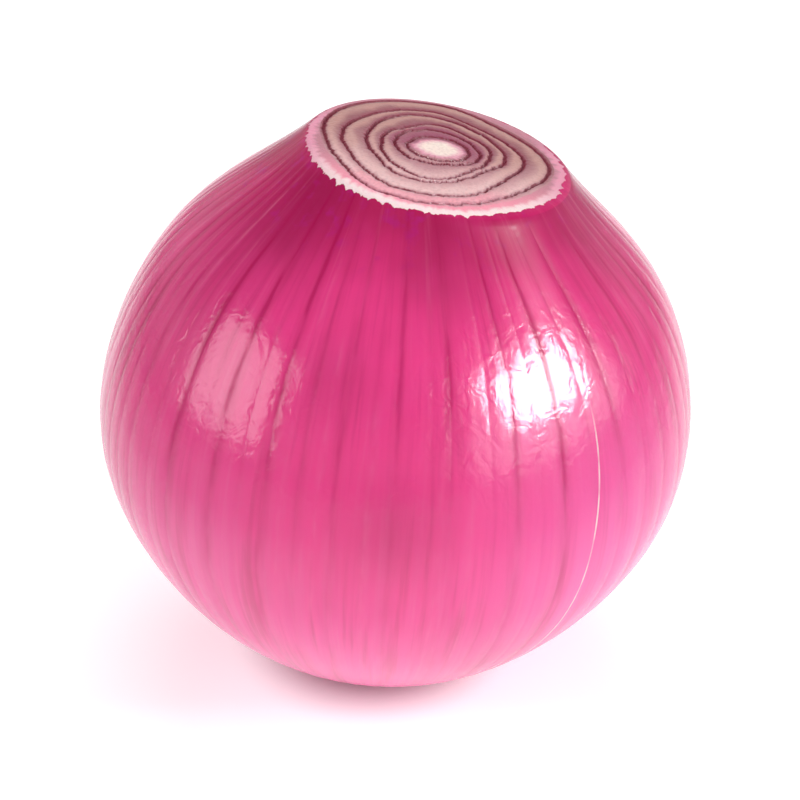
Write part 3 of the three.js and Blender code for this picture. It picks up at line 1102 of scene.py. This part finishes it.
def add_lamps(scene, middle):
    """The soft lamps, each facing the middle of the bulb."""
    for name, towards, across, high, level, seen in LAMPS:
        light = bpy.data.lights.new(name, "AREA")
        light.shape = "RECTANGLE"
        light.size = 2 * LAMP_DISTANCE * tan(radians(across))
        light.size_y = 2 * LAMP_DISTANCE * tan(radians(high))
        light.energy = getattr(scene.onion_stage, level) * pi
        if seen == "glossy":
            light.energy *= light.size * light.size_y
        else:
            light.energy *= pi * LAMP_DISTANCE**2
        lamp = bpy.data.objects.new(name, light)
        lamp.visible_diffuse = seen != "glossy"
        lamp.visible_glossy = seen != "diffuse"
        direction = Vector(towards).normalized()
        lamp.location = middle + direction * LAMP_DISTANCE
        lamp.rotation_euler = direction.to_track_quat("Z", "Y").to_euler()
        scene.collection.objects.link(lamp)


def add_camera(scene, middle):
    """The camera of the photograph."""
    stage = scene.onion_stage
    camera = bpy.data.cameras.new("camera")
    camera.lens = stage.lens
    camera.sensor_width = SENSOR_WIDTH
    camera.shift_x, camera.shift_y = stage.shift_x, stage.shift_y
    camera.clip_start, camera.clip_end = CLIP
    holder = bpy.data.objects.new("camera", camera)
    tilt = radians(stage.camera_elevation)
    holder.location = middle + stage.camera_distance * Vector((0, -cos(tilt), sin(tilt)))
    holder.rotation_euler = (pi / 2 - tilt, 0, 0)
    scene.collection.objects.link(holder)
    scene.camera = holder


class ONION_OT_bulb(bpy.types.Operator):
    """Build the bulb: cut, bevel, skin and foot in one closed mesh"""

    bl_idname = "onion.bulb"
    bl_label = "Onion bulb"

    def execute(self, context):
        scene = context.scene
        shape = Onion(scene.onion_bulb, scene.onion_cut)
        veins = all_veins()
        angles = column_angles(veins)
        points, top, bottom, facts, grain = build_bulb(shape, angles, veins)
        mesh, corners, faces = closed_mesh("onion", points, top, bottom)
        store_facts(mesh, facts, grain)
        for finish in (skin_finish, flesh_finish, root_finish):
            mesh.materials.append(finish(scene.onion_colours))
        finish_of = np.where(faces[0] < CUT_ROWS - RIM_ROWS, 1, 0)
        finish_of[faces[0] > ON_SKIN.stop] = 2
        mesh.polygons.foreach_set("material_index", finish_of.astype(np.int32))
        bake_layout(mesh, shape, points, angles, corners, faces)
        onion = new_piece(scene, mesh)
        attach(onion, "root")
        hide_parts("bulb")
        return {"FINISHED"}


class ONION_OT_roots(bpy.types.Operator):
    """Build the short root stubs in the hollow of the foot"""

    bl_idname = "onion.roots"
    bl_label = "Root stubs"

    def execute(self, context):
        scene = context.scene
        mesh = bpy.data.meshes.new("root_stubs")
        points, faces = root_stubs(foot_middle(scene.onion_bulb))
        mesh.from_pydata(points, [], faces)
        mesh.polygons.foreach_set("use_smooth", np.ones(len(mesh.polygons), bool))
        mesh.materials.append(stub_finish(scene.onion_colours))
        stubs = new_piece(scene, mesh)
        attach(stubs, "root")
        return {"FINISHED"}


class ONION_OT_stage(bpy.types.Operator):
    """Build the white floor, what surrounds it, the soft lamps and the camera"""

    bl_idname = "onion.stage"
    bl_label = "Onion stage"

    def execute(self, context):
        scene = context.scene
        middle = Vector((0, 0, scene.onion_bulb.middle_height))
        mesh = bpy.data.meshes.new("floor")
        corners = [(x * FLOOR_HALF, y * FLOOR_HALF, 0) for x, y in ((-1, -1), (1, -1), (1, 1), (-1, 1))]
        mesh.from_pydata(corners, [], [(0, 1, 2, 3)])
        mesh.materials.append(floor_finish(scene.onion_stage))
        floor = new_piece(scene, mesh)
        scene.world = white_room(scene.onion_stage)
        scene.view_settings.view_transform = "Standard"
        add_lamps(scene, middle)
        add_camera(scene, middle)
        return {"FINISHED"}


class ONION_PT_panel(bpy.types.Panel):
    """Sizes, colours and the buttons that build each piece"""

    bl_idname = "ONION_PT_panel"
    bl_label = "Onion"
    bl_space_type = "VIEW_3D"
    bl_region_type = "UI"
    bl_category = "Onion"

    def draw(self, context):
        for name, group in GROUPS.items():
            box = self.layout.box()
            for key in group.__annotations__:
                box.prop(getattr(context.scene, name), key)
        for operator in OPERATORS:
            self.layout.operator(operator.bl_idname)


OPERATORS = [ONION_OT_bulb, ONION_OT_roots, ONION_OT_stage]


def register():
    for group in GROUPS.values():
        bpy.utils.register_class(group)
    for name, group in GROUPS.items():
        setattr(bpy.types.Scene, name, PointerProperty(type=group))
    for operator in OPERATORS:
        bpy.utils.register_class(operator)
    bpy.utils.register_class(ONION_PT_panel)


def unregister():
    bpy.utils.unregister_class(ONION_PT_panel)
    for operator in reversed(OPERATORS):
        bpy.utils.unregister_class(operator)
    for name in GROUPS:
        delattr(bpy.types.Scene, name)
    for group in GROUPS.values():
        bpy.utils.unregister_class(group)


def main():
    register()
    bpy.ops.onion.stage()
    bpy.ops.onion.bulb()
    bpy.ops.onion.roots()


if __name__ == "__main__":
    main()
